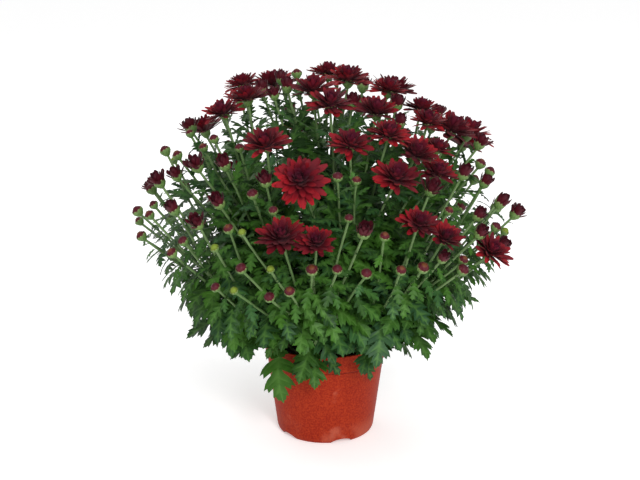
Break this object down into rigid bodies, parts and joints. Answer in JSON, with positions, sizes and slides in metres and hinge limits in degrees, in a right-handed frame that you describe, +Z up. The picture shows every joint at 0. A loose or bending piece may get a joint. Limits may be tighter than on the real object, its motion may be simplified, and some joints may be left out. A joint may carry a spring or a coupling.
{
  "type": "pot chrysanthemum",
  "caption": "Flowering pot chrysanthemum, a dome of crimson semi-double blooms, buds and lobed leaves on stalks, growing in a tapered plastic pot.",
  "frame": {"origin": "middle of the pot's foot, on the surface it stands on", "axes": "+Z up, front of the plant towards -Y, +X to the right seen from the front"},
  "size_m": [0.4457, 0.4299, 0.4282],
  "materials": {
    "pot_plastic": "satin moulded plastic, terracotta orange",
    "soil": "moist dark potting soil",
    "green": "soft dull green stems and leaves",
    "petal": "velvety crimson petals"
  },
  "bodies": {
    "root": {"pot": "pot_plastic", "soil": "soil", "spray_01": "green", "spray_02": "green", "spray_03": "green", "spray_04": "green", "spray_05": "green", "spray_06": "green", "spray_07": "green", "spray_08": "green", "spray_09": "green", "spray_10": "green", "spray_11": "green", "spray_12": "green", "spray_13": "green", "spray_14": "green", "bloom_01": "petal", "bloom_02": "petal", "bloom_03": "petal", "bloom_04": "petal", "bloom_05": "petal", "bloom_06": "petal", "bloom_07": "petal", "bloom_08": "petal", "bloom_09": "petal", "bloom_10": "petal", "bloom_11": "petal", "bloom_12": "petal", "bloom_13": "petal", "bloom_14": "petal", "bloom_15": "petal", "bloom_16": "petal", "bloom_17": "petal", "bloom_18": "petal", "bloom_19": "petal", "bloom_20": "petal", "bloom_21": "petal", "bloom_22": "petal", "bloom_23": "petal", "bloom_24": "petal", "bloom_25": "petal", "bloom_26": "petal", "bloom_27": "petal", "bloom_28": "petal", "bloom_29": "petal", "bloom_30": "petal", "bloom_31": "petal", "bloom_32": "petal", "bloom_33": "petal", "bloom_34": "petal"}
  },
  "joints": []
}
